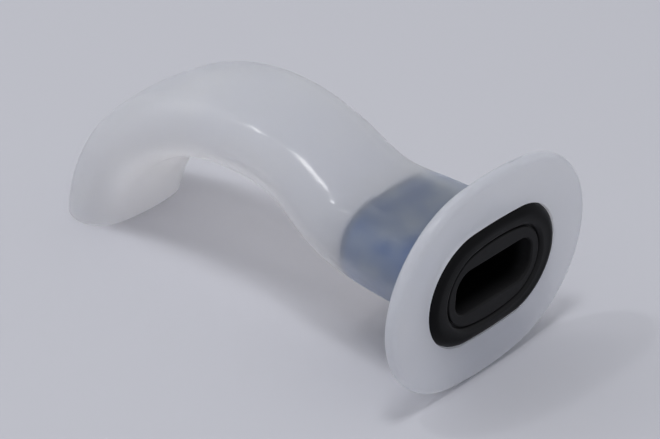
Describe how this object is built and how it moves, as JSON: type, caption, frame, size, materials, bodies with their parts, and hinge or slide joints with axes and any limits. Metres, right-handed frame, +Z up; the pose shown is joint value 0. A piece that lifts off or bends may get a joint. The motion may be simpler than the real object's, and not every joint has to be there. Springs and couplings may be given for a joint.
{
  "type": "oropharyngeal airway",
  "caption": "Curved hollow oropharyngeal airway with an oval flange and a black bite block, 60 mm nominal length.",
  "frame": {"origin": "on the table, under the middle of the part's length and width", "axes": "+X from the tip to the flange, +Y across, +Z up; the part lies concave side down on the flange's bottom edge and the tip"},
  "size_m": [0.061, 0.032, 0.0252],
  "materials": {
    "translucent_body": "milky translucent moulded polyethylene, smooth with a soft gloss",
    "black_block": "black moulded plastic, satin"
  },
  "bodies": {
    "root": {"airway_body": "translucent_body", "bite_block": "black_block"}
  },
  "joints": []
}
